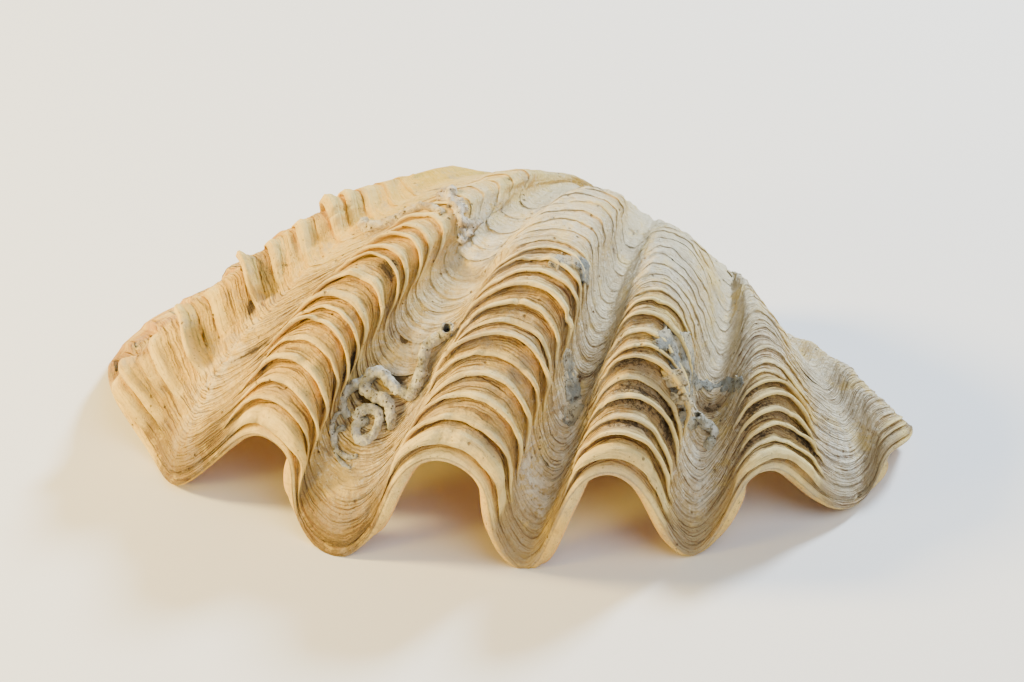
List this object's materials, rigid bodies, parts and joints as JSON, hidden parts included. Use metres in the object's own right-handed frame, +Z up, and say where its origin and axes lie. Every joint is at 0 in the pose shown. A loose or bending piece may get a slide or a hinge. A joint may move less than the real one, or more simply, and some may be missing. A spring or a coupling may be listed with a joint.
{
  "type": "giant clam half shell",
  "caption": "One valve of a giant clam shell: a domed, thick-walled natural shell with fanned ribs, stacked growth ledges and a wavy margin it rests on.",
  "frame": {"origin": "middle of the shell's outline on the table it rests on", "axes": "+X to the right along the length as seen from the scalloped front, +Y to the back where the beak is, +Z up; the scalloped margin faces -Y"},
  "size_m": [0.1949, 0.1086, 0.0612],
  "materials": {
    "shell": "matt, chalky outside; smoother inside"
  },
  "bodies": {
    "root": {"shell": "shell"}
  },
  "joints": []
}
